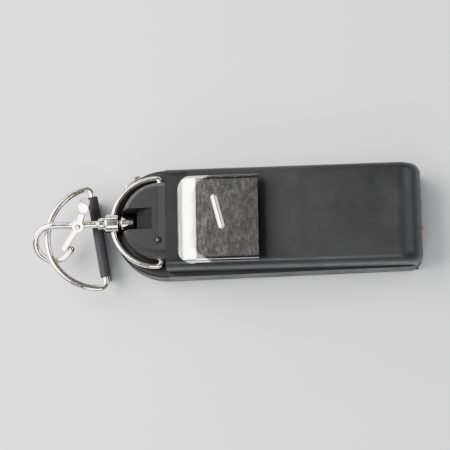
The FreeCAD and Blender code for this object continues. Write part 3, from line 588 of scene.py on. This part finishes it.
chipLook = {"case": (0.012, 0.012, 0.013), "ash": (0.02, 0.02, 0.021)}

def chipFinish(name, look):
    finish, tree, shader = startFinish(name)
    clouds = noise(tree, places(tree), 0.002, 3)
    tone = ramp(tree, clouds, "Fac", [(0.3, look["case"]), (0.7, look["ash"])])
    join(tree, tone, "Color", shader, "Base Color")
    shader.inputs["Roughness"].default_value = 0.5
    bumps(tree, shader, [(noise(tree, places(tree), 0.0003, 2), "Fac", 0.3, 0.00002)])
    return finish


# bands across the case: painted shade as a near-black strip before the clip, and a painted highlight as a
# paler neck where the cap meets the shells; painted shade darkens the cap's slot
bandLook = {"shadeStrip": (0.005, 0.005, 0.006), "neck": (0.019, 0.0192, 0.0198), "neckWide": 2.8,
            "underClip": 4.0, "stripInset": 2.0, "stripDeep": 0.6, "over": 1.0}
# painted shade inside the cap's slot: its tone, roughness and box
slotShadeLook = {"tone": (0.004, 0.004, 0.0045), "dull": 0.85, "wide": 9.2, "back": 18.7, "floor": 11.5}

def dressNodes():
    low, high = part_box("back_shell")
    seam = low.x
    inset, over = bandLook["stripInset"] * mm, bandLook["over"] * mm
    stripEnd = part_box("clip_plate")[0].x + bandLook["underClip"] * mm
    # painted shade: a near-black band on the back shell from the seam to under the clip's edge
    shadeStrip = {"low": (seam - over, low.y + inset, high.z - bandLook["stripDeep"] * mm),
             "high": (stripEnd, high.y - inset, high.z + over), "tone": bandLook["shadeStrip"]}
    # painted highlight: a paler band round the neck where the cap meets the shells
    neck = {"low": (seam - bandLook["neckWide"] * mm, 2 * low.y, low.z),
            "high": (seam + over, 2 * high.y, high.z + over), "tone": bandLook["neck"]}
    nose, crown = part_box("top_cap")
    reach = slotShadeLook["wide"] * mm / 2
    # painted shade: the cap's slot darkened and made duller inside
    slotShade = {"low": (nose.x - over, -reach, slotShadeLook["floor"] * mm),
            "high": (nose.x + slotShadeLook["back"] * mm, reach, crown.z + over),
            "tone": slotShadeLook["tone"], "dull": slotShadeLook["dull"]}
    finishes = {
        "case": plasticFinish("casePlastic", plasticLook["case"]),
        "back": plasticFinish("backPlastic", plasticLook["case"], [shadeStrip]),
        "cap": plasticFinish("capPlastic", plasticLook["cap"], [neck], slotShade),
        "keys": plasticFinish("keyPlastic", plasticLook["keys"]),
        "post": plasticFinish("postPlastic", plasticLook["post"]),
        "nickel": metalFinish("polishedNickel", metalLook["nickel"]),
        "clip": clipFinish("clipSteel", metalLook["clip"], clipLook),
        "screw": metalFinish("screwSteel", metalLook["screw"]),
        "brass": metalFinish("contactBrass", metalLook["brass"]),
        "tin": metalFinish("shieldTin", metalLook["tin"]),
        "rubber": rubberFinish("gasketRubber", rubberLook),
        "webbing": webbingFinish("tabWebbing", webbingLook),
        "window": windowFinish("smokedWindow", windowLook),
        "display": displayFinish("greyDisplay", displayLook),
        "lamp": lampFinish("lampLens", lampLook),
        "board": boardFinish("greenBoard", boardLook),
        "cellFar": cellFinish("cellSleeveFar", cellLook, "battery_cell_1", "far"),
        "cellNear": cellFinish("cellSleeveNear", cellLook, "battery_cell_2", "near"),
        "chip": chipFinish("chipBlack", chipLook),
    }
    wears = {
        "case": ["front_shell", "battery_door"],
        "back": ["back_shell"],
        "cap": ["top_cap"],
        "keys": ["key_1", "key_2", "key_3", "side_switch"],
        "post": ["board_posts"],
        "nickel": ["bail", "snap_hook", "trigger", "strap_ring"],
        "clip": ["clip_plate", "clip_base"],
        "screw": ["trigger_pin", "clip_pin", "clip_screws", "clip_spring", "case_screws", "mic_jack",
                  "mic_jack_nut"],
        "brass": ["charge_contacts", "contacts_near", "contacts_far"],
        "tin": ["radio_shield"],
        "rubber": ["seam_gasket"],
        "webbing": ["strap_tab"],
        "window": ["display_window"],
        "display": ["display_panel"],
        "lamp": ["status_lamp"],
        "board": ["main_board"],
        "cellFar": ["battery_cell_1"],
        "cellNear": ["battery_cell_2"],
        "chip": ["board_chips"],
    }
    for finish, names in wears.items():
        for name in names:
            node = frame["nodes"][name]
            node.data.materials.clear()
            node.data.materials.append(finishes[finish])
    return finishes


# webbing tab: one strap folded round the ring's bar, two layers sewn together below it
tabPlan = {"lean": 9.15, "width": 35.6, "thick": 1.0, "barRadius": 1.5, "layerGap": 0.02, "pinch": 2.2,
           "legSteps": 9, "bendSteps": 14, "bendShort": 20, "columns": 40, "edge": 0.28,
           "sag": 0.25, "sagWave": 210, "sagStart": 0.6, "ripple": 0.12, "rippleWave": (900, 400),
           "seam": (3.6, 8.6), "threadPitch": 2.1, "threadSize": 0.22, "threadShare": 0.4, "threadOut": 0.08}

def makeTab(plan, cloth, thread):
    low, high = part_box("strap_tab")
    middle = (low + high) / 2
    inner = plan["barRadius"] * mm
    thick = plan["thick"] * mm
    barZ = high.z - inner - thick
    drop = barZ - low.z
    half = plan["width"] * mm / 2
    centreLine = inner + thick / 2
    gap = thick / 2 + plan["layerGap"] * mm
    pinch = plan["pinch"] * mm
    short = math.radians(plan["bendShort"])
    leg, bend, columns = plan["legSteps"], plan["bendSteps"], plan["columns"]

    def sway(y, below):
        return plan["sag"] * mm * below * math.sin(y * plan["sagWave"] + plan["sagStart"])
    path = [(-gap, -drop + (drop - pinch) * i / leg) for i in range(leg + 1)]
    for i in range(bend + 1):
        turn = math.pi - short - (math.pi - 2 * short) * i / bend
        path.append((centreLine * math.cos(turn), centreLine * math.sin(turn)))
    path += [(gap, -pinch - (drop - pinch) * i / leg) for i in range(leg + 1)]
    lengths = [0.0]
    for a, b in zip(path, path[1:]):
        lengths.append(lengths[-1] + math.dist(a, b))
    mesh = bmesh.new()
    rows = []
    alongWave, acrossWave = plan["rippleWave"]
    for x, z in path:
        row = []
        for i in range(columns + 1):
            y = -half + 2 * half * i / columns
            below = max(0.0, -z / drop)
            lift = plan["ripple"] * mm * below * (1 + math.sin(y * acrossWave + x * alongWave))
            row.append(mesh.verts.new((x + sway(y, below), y, z + lift)))
        rows.append(row)
    layer = mesh.loops.layers.uv.new("weave")
    for r in range(len(rows) - 1):
        for c in range(columns):
            face = mesh.faces.new((rows[r][c], rows[r][c + 1], rows[r + 1][c + 1], rows[r + 1][c]))
            marks = ((r, c), (r, c + 1), (r + 1, c + 1), (r + 1, c))
            for loop, (rr, cc) in zip(face.loops, marks):
                loop[layer].uv = (2 * half * cc / columns, lengths[rr])
            face.smooth = True
    shape = bpy.data.meshes.new("webbingTab")
    mesh.to_mesh(shape)
    mesh.free()
    tab = bpy.data.objects.new("webbingTab", shape)
    bpy.context.scene.collection.objects.link(tab)
    shape.materials.append(cloth)
    lean = Matrix.Rotation(math.radians(plan["lean"]), 4, "Z")
    place = Matrix.Translation((middle.x, middle.y, barZ)) @ lean
    shape.transform(place)
    thickness = tab.modifiers.new("thickness", "SOLIDIFY")
    thickness.thickness = thick
    thickness.offset = 0
    edge = tab.modifiers.new("edge", "BEVEL")
    edge.width = plan["edge"] * mm
    edge.segments = 2
    edge.limit_method = "ANGLE"
    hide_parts("strap_tab")
    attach(tab, "ring")
    stitches = bmesh.new()
    size, pitch = plan["threadSize"] * mm, plan["threadPitch"] * mm
    grow = Matrix.Diagonal((size, pitch * plan["threadShare"], size, 1))
    count = int(2 * half / pitch) - 1
    for side in (-1, 1):
        for row in plan["seam"]:
            for i in range(count):
                y = -half + 2 * half * (i + 1) / (count + 1)
                out = side * (thick + plan["threadOut"] * mm) + sway(y, row * mm / drop)
                spot = Vector((out, y, -row * mm))
                bmesh.ops.create_uvsphere(stitches, u_segments=8, v_segments=6, radius=1.0,
                                          matrix=Matrix.Translation(spot) @ grow)
    shape = bpy.data.meshes.new("tabStitches")
    stitches.to_mesh(shape)
    stitches.free()
    shape.transform(place)
    shape.materials.append(thread)
    for face in shape.polygons:
        face.use_smooth = True
    seams = bpy.data.objects.new("tabStitches", shape)
    bpy.context.scene.collection.objects.link(seams)
    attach(seams, "ring")


threadLook = {"tone": (0.035, 0.035, 0.037), "highlight": (0.07, 0.07, 0.074)}

def threadFinish(name, look):
    finish, tree, shader = startFinish(name)
    twist = noise(tree, places(tree), 0.0004, 2)
    tone = ramp(tree, twist, "Fac", [(0.3, look["tone"]), (0.7, look["highlight"])])
    join(tree, tone, "Color", shader, "Base Color")
    shader.inputs["Roughness"].default_value = 0.6
    bumps(tree, shader, [(twist, "Fac", 0.4, 0.00006)])
    return finish


# cast and upset metal: the solid's own shape with its edges eased and its joins filleted
castPlan = {
    "trigger": {"name": "castTrigger", "voxel": 0.17, "passes": 16},
    "snap_hook": {"name": "castHook", "voxel": 0.21, "passes": 8},
    "bail": {"name": "bentBail", "voxel": 0.21, "passes": 6},
}

def castPiece(node, plan, finish):
    source = frame["nodes"][node].data
    raw = bpy.data.objects.new(plan["name"] + "Raw", source.copy())
    bpy.context.scene.collection.objects.link(raw)
    remesh = raw.modifiers.new("remesh", "REMESH")
    remesh.mode = "VOXEL"
    remesh.voxel_size = plan["voxel"] * mm
    ease = raw.modifiers.new("ease", "SMOOTH")
    ease.factor = 0.5
    ease.iterations = plan["passes"]
    shape = bpy.data.meshes.new_from_object(raw.evaluated_get(bpy.context.evaluated_depsgraph_get()))
    mesh = bmesh.new()
    mesh.from_mesh(shape)
    bpy.data.objects.remove(raw)
    newPiece(plan["name"], mesh, finish, node, crease=80)


# cross-recess screws with rolled threads; heads face out of the case
screwPlan = {"head": 2.2, "caseHeadHigh": 1.2, "clipHeadHigh": 0.9, "shank": 1.25, "headSides": 40,
             "crown": 0.25, "crownSteps": ((0.86, 0.3), (0.7, 0)), "cross": 1.25, "crossWide": 0.42,
             "crossDeep": 0.75, "crossFoot": 0.55, "pitch": 0.8, "thread": 0.16, "threadSides": 24,
             "tip": 0.3}

def crossPoints(half, wide):
    w = wide / 2
    quarter = [(half, -w), (half, w), (w, w)]
    points = []
    for turn in range(4):
        c, s = (1, 0, -1, 0)[turn], (0, 1, 0, -1)[turn]
        points += [(x * c - y * s, x * s + y * c) for x, y in quarter]
    return points

# head top at height 0 in its own frame, shank running down to -length
def screwInto(mesh, plan, place, headHigh, length):
    r, h, crown = plan["head"] * mm, headHigh * mm, plan["crown"] * mm
    radius, foot = plan["shank"] * mm, plan["crossFoot"]
    rim = [(r, -h), (r, -crown)] + [(r * wide, -crown * deep) for wide, deep in plan["crownSteps"]]
    rings = turned(mesh, rim, plan["headSides"], place)
    cross = crossPoints(plan["cross"] * mm, plan["crossWide"] * mm)
    mouth = [mesh.verts.new(place @ Vector((x, y, 0))) for x, y in cross]
    deep = [mesh.verts.new(place @ Vector((x * foot, y * foot, -plan["crossDeep"] * mm))) for x, y in cross]
    count = len(cross)
    for i in range(count):
        j = (i + 1) % count
        mesh.faces.new((mouth[i], mouth[j], deep[j], deep[i]))
    mesh.faces.new(deep)
    edges = []
    for ring in (rings[-1], mouth):
        for i in range(len(ring)):
            a, b = ring[i], ring[(i + 1) % len(ring)]
            edges.append(mesh.edges.get((a, b)) or mesh.edges.new((a, b)))
    bmesh.ops.triangle_fill(mesh, use_beauty=True, use_dissolve=False, edges=edges)
    steps = int((length - h) / (plan["pitch"] * mm) * 2)
    shank = [(r, -h)]
    for i in range(steps + 1):
        depth = plan["thread"] * mm if i % 2 else 0
        shank.append((radius - depth, -h - (length - h) * i / steps))
    shank.append((radius * plan["tip"], -length))
    capRing(mesh, turned(mesh, shank, plan["threadSides"], place)[-1])

def screwSet(name, plan, finish, node, spots, headHigh):
    low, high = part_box(node)
    mesh = bmesh.new()
    for spot, turn in spots:
        spin = Matrix.Rotation(random.uniform(0, math.pi / 2), 4, "Z")
        screwInto(mesh, plan, Matrix.Translation(spot) @ turn @ spin, headHigh, high.z - low.z)
    newPiece(name, mesh, finish, node)

def makeScrews(plan, finish):
    head = plan["head"] * mm
    low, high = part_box("case_screws")
    flip = Matrix.Rotation(math.pi, 4, "X")
    spots = [((x, y, low.z), flip) for x in (low.x + head, high.x - head)
             for y in (low.y + head, high.y - head)]
    screwSet("caseScrewSet", plan, finish, "case_screws", spots, plan["caseHeadHigh"])
    low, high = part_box("clip_screws")
    spots = [(((low.x + high.x) / 2, y, high.z), Matrix()) for y in (low.y + head, high.y - head)]
    screwSet("clipScrewSet", plan, finish, "clip_screws", spots, plan["clipHeadHigh"])


# straight-knurled nut round the microphone socket
nutPlan = {"teeth": 36, "toothDeep": 0.22, "toothShape": 0.7, "toothSides": 8, "chamfer": 0.35,
           "counter": 0.25}

def makeNut(plan, finish):
    mount = [entry for entry in frame["record"]["mounts"] if entry["name"] == "mic_socket"][0]
    way = Vector(mount["axis"]).normalized()
    foot = Vector(mount["pos_m"])
    corners = [v.co for v in frame["nodes"]["mic_jack_nut"].data.vertices]
    depths = [(c - foot).dot(way) for c in corners]
    reach = [((c - foot) - way * (c - foot).dot(way)).length for c in corners]
    low, high, outer, inner = min(depths), max(depths), max(reach), min(reach)
    chamfer = plan["chamfer"] * mm
    flat = outer - chamfer
    profile = [(inner, low), (flat, low), (outer, low + chamfer), (outer, high - chamfer), (flat, high),
               (inner + plan["counter"] * mm, high), (inner, high - plan["counter"] * mm), (inner, low)]
    place = Matrix.Translation(foot) @ way.to_track_quat("Z", "Y").to_matrix().to_4x4()

    def teeth(radius, turn):
        if radius < outer - 1e-6:
            return radius
        wave = 0.5 + 0.5 * math.cos(turn * plan["teeth"])
        return radius - plan["toothDeep"] * mm * wave ** plan["toothShape"]
    mesh = bmesh.new()
    turned(mesh, profile, plan["teeth"] * plan["toothSides"], place, teeth)
    bmesh.ops.remove_doubles(mesh, verts=mesh.verts, dist=1e-7)
    newPiece("knurledNut", mesh, finish, "mic_jack_nut", crease=40)


# clip spring: wound round the pin, its two legs on the base
springPlan = {"wire": 0.72, "turns": 6, "steps": 28, "legReach": 6.4, "legUp": 1.0, "legBack": 0.5,
              "legLift": 0.3}

def makeClipSpring(plan, finish):
    low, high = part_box("clip_spring")
    pinLow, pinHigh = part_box("clip_pin")
    x, z = (pinLow.x + pinHigh.x) / 2, (pinLow.z + pinHigh.z) / 2
    wire, reach = plan["wire"] * mm, plan["legReach"] * mm
    mean = high.z - z - wire / 2
    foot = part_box("clip_base")[0].z + plan["legUp"] * mm + wire / 2
    points = [Vector((x + reach, low.y + wire / 2, foot))]
    count = plan["turns"] * plan["steps"]
    for i in range(count + 1):
        turn = -math.pi / 2 - 2 * math.pi * plan["turns"] * i / count
        y = low.y + wire / 2 + (high.y - low.y - wire) * i / count
        points.append(Vector((x + mean * math.cos(turn), y, z + mean * math.sin(turn))))
    points.append(Vector((x + reach * plan["legBack"], high.y - wire / 2, foot + plan["legLift"] * mm)))
    newPiece("clipTorsionSpring", wireMesh(points, wire / 2), finish, "clip_spring", crease=80)


# battery contacts: a wound spring under one cell and a dome under the other, each on its own plate
contactPlan = {"wire": 0.62, "turns": 3.25, "steps": 28, "wide": 3.1, "tip": 2.1, "plate": 0.5, "bend": 1.2,
               "tongue": 0.4, "shoulder": 1.25, "domeSides": 24,
               "dome": ((2.2, 0), (1.9, 0.25), (1.2, 0.42), (0.3, 0.45))}

def makeContacts(plan, finish, node, sprungCell, otherCell, way):
    low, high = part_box(node)
    plate = low.x if way > 0 else high.x
    thick = plan["plate"] * mm * way
    bend, wire, turns = plan["bend"] * mm, plan["wire"] * mm, plan["turns"]
    mesh = bmesh.new()
    for cell in (sprungCell, otherCell):
        cellLow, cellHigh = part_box(cell)
        y, z = (cellLow.y + cellHigh.y) / 2, (cellLow.z + cellHigh.z) / 2
        half = (high.y - low.y) / 2 - abs(y)
        tongue, shoulder = plan["tongue"] * half, z + plan["shoulder"] * half
        outline = [(-half, low.z + bend), (-half + bend, low.z), (half - bend, low.z), (half, low.z + bend),
                   (half, z + half), (tongue, shoulder), (tongue, high.z), (-tongue, high.z),
                   (-tongue, shoulder), (-half, z + half)]
        stand = Matrix(((0, 0, 1, plate), (1, 0, 0, y), (0, 1, 0, 0), (0, 0, 0, 1)))
        slab(mesh, outline, min(0, thick), max(0, thick), stand)
        if cell == sprungCell:
            gap = (cellLow.x - plate - thick) if way > 0 else (plate + thick - cellHigh.x)
            count = int(turns * plan["steps"])
            points = []
            for i in range(count + 1):
                share = i / count
                turn = 2 * math.pi * turns * share
                reach = (plan["wide"] + (plan["tip"] - plan["wide"]) * share) * mm
                x = plate + thick + way * (wire / 2 + (gap - wire) * share)
                points.append(Vector((x, y + reach * math.cos(turn), z + reach * math.sin(turn))))
            addMesh(mesh, wireMesh(points, wire / 2))
        else:
            turn = Matrix.Rotation(math.pi / 2 * way, 4, "Y")
            dome = [(radius * mm, height * mm) for radius, height in plan["dome"]]
            place = Matrix.Translation((plate + thick, y, z)) @ turn
            capRing(mesh, turned(mesh, dome, plan["domeSides"], place)[-1])
    newPiece(node.replace("_", "") + "Sprung", mesh, finish, node, crease=40)


# segment digits and a battery gauge behind the window; read with the cap end up
readoutPlan = {"digits": "614", "high": 8.0, "wide": 4.2, "stroke": 0.75, "gap": 0.14, "pitch": 6.0,
               "lean": 0.08, "down": 1.5, "ink": (0.02, 0.12),
               "bars": 4, "barSize": (1.5, 2.6), "barPitch": 2.1, "barDown": 7.5}
segmentsOf = {"1": "bc", "4": "bcfg", "6": "acdefg"}

def makeReadout(plan, finish):
    low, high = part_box("display_panel")
    middle = (low + high) / 2
    stand = Matrix(((0, -1, 0, middle.x), (-1, 0, 0, middle.y), (0, 0, -1, low.z), (0, 0, 0, 1)))
    h, w, s, g = (plan[key] * mm for key in ("high", "wide", "stroke", "gap"))
    half = h / 2
    inkLow, inkHigh = (level * mm for level in plan["ink"])

    def bar(x0, y0, x1, y1):
        along = Vector((x1 - x0, y1 - y0)).normalized()
        side = Vector((-along.y, along.x)) * s / 2
        a, b = Vector((x0, y0)) + along * g, Vector((x1, y1)) - along * g
        tip = along * s / 2
        points = [a, a + tip + side, b - tip + side, b, b - tip - side, a + tip - side]
        return [(p.x + p.y * plan["lean"], p.y) for p in points]
    spans = {"a": (0, h, w, h), "b": (w, half, w, h), "c": (w, 0, w, half), "d": (0, 0, w, 0),
             "e": (0, 0, 0, half), "f": (0, half, 0, h), "g": (0, half, w, half)}
    mesh = bmesh.new()
    start = -(plan["pitch"] * (len(plan["digits"]) - 1) + plan["wide"]) * mm / 2
    for index, digit in enumerate(plan["digits"]):
        for segment in segmentsOf[digit]:
            points = bar(*spans[segment])
            shift = start + index * plan["pitch"] * mm
            slab(mesh, [(x + shift, y - plan["down"] * mm) for x, y in points], inkLow, inkHigh, stand)
    width, tall = (size * mm for size in plan["barSize"])
    for index in range(plan["bars"]):
        x = start + index * plan["barPitch"] * mm
        y = -plan["barDown"] * mm
        slab(mesh, [(x, y), (x + width, y), (x + width, y + tall), (x, y + tall)], inkLow, inkHigh, stand)
    newPiece("readoutSegments", mesh, finish, "display_panel", stands=False)


# raised marks on the keys: down, round, up
keyMarkPlan = {"size": 1.5, "rise": 0.12, "slope": 0.6, "ring": 0.45, "ringWide": 0.95, "ringSides": 24}

def makeKeyMarks(plan, finish):
    size, rise = plan["size"] * mm, plan["rise"] * mm
    foot = size * plan["slope"]
    triangle = [(-size, -foot), (size, -foot), (0, size)]
    for index, node in enumerate(("key_1", "key_2", "key_3")):
        low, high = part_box(node)
        middle = (low + high) / 2
        stand = Matrix(((0, -1, 0, middle.x), (-1, 0, 0, middle.y), (0, 0, -1, low.z), (0, 0, 0, 1)))
        mesh = bmesh.new()
        if node == "key_2":
            outer = size * plan["ringWide"]
            inner = outer - plan["ring"] * mm
            profile = [(inner, 0), (inner, rise), (outer, rise), (outer, 0), (inner, 0)]
            turned(mesh, profile, plan["ringSides"], stand)
            bmesh.ops.remove_doubles(mesh, verts=mesh.verts, dist=1e-7)
        else:
            way = 1 if node == "key_3" else -1
            slab(mesh, [(x, y * way) for x, y in triangle][::way], 0, rise, stand)
        newPiece("keyMark" + str(index + 1), mesh, finish, node, stands=False)


markLook = {"tone": (0.42, 0.42, 0.41), "worn": (0.25, 0.25, 0.25)}
inkLook = {"tone": (0.012, 0.014, 0.013), "worn": (0.03, 0.033, 0.03)}

def printFinish(name, look):
    finish, tree, shader = startFinish(name)
    clouds = noise(tree, places(tree), 0.0008, 4)
    tone = ramp(tree, clouds, "Fac", [(0.35, look["worn"]), (0.55, look["tone"])])
    join(tree, tone, "Color", shader, "Base Color")
    shader.inputs["Roughness"].default_value = 0.45
    bumps(tree, shader, [(clouds, "Fac", 0.2, 0.00001)])
    return finish


# pale floor
floorLook = {"tone": (0.72, 0.725, 0.73), "shade": 0.97, "cloud": 0.2, "dull": 0.7, "size": 3.0,
             "below": 0.05}

def layFloor(look):
    level = cadBox[0].z - look["below"] * mm
    bpy.ops.mesh.primitive_plane_add(size=look["size"], location=(0, 0, level))
    floor = bpy.context.object
    floor.name = "floor"
    finish, tree, shader = startFinish("paleFloor")
    clouds = noise(tree, places(tree), look["cloud"], 3)
    shade = tuple(look["shade"] * channel for channel in look["tone"])
    tone = ramp(tree, clouds, "Fac", [(0.3, shade), (0.7, look["tone"])])
    join(tree, tone, "Color", shader, "Base Color")
    shader.inputs["Roughness"].default_value = look["dull"]
    floor.data.materials.append(finish)


placeCamera(lookFrom)
hangLamps(lampPlan, surroundLook)
layFloor(floorLook)
print("camera, lamps and floor are in place")
finishes = dressNodes()
print("finishes:", len(finishes))
makeTab(tabPlan, finishes["webbing"], threadFinish("sewingThread", threadLook))
print("webbing tab sewn")
for node, plan in castPlan.items():
    castPiece(node, plan, finishes["nickel"])
print("cast pieces eased")
makeScrews(screwPlan, finishes["screw"])
makeNut(nutPlan, finishes["screw"])
print("screws and nut turned")
makeClipSpring(springPlan, finishes["screw"])
makeContacts(contactPlan, finishes["brass"], "contacts_near", "battery_cell_1", "battery_cell_2", 1)
makeContacts(contactPlan, finishes["brass"], "contacts_far", "battery_cell_2", "battery_cell_1", -1)
print("springs wound")
makeReadout(readoutPlan, printFinish("segmentInk", inkLook))
makeKeyMarks(keyMarkPlan, printFinish("keyPrint", markLook))
print("readout and key marks set")
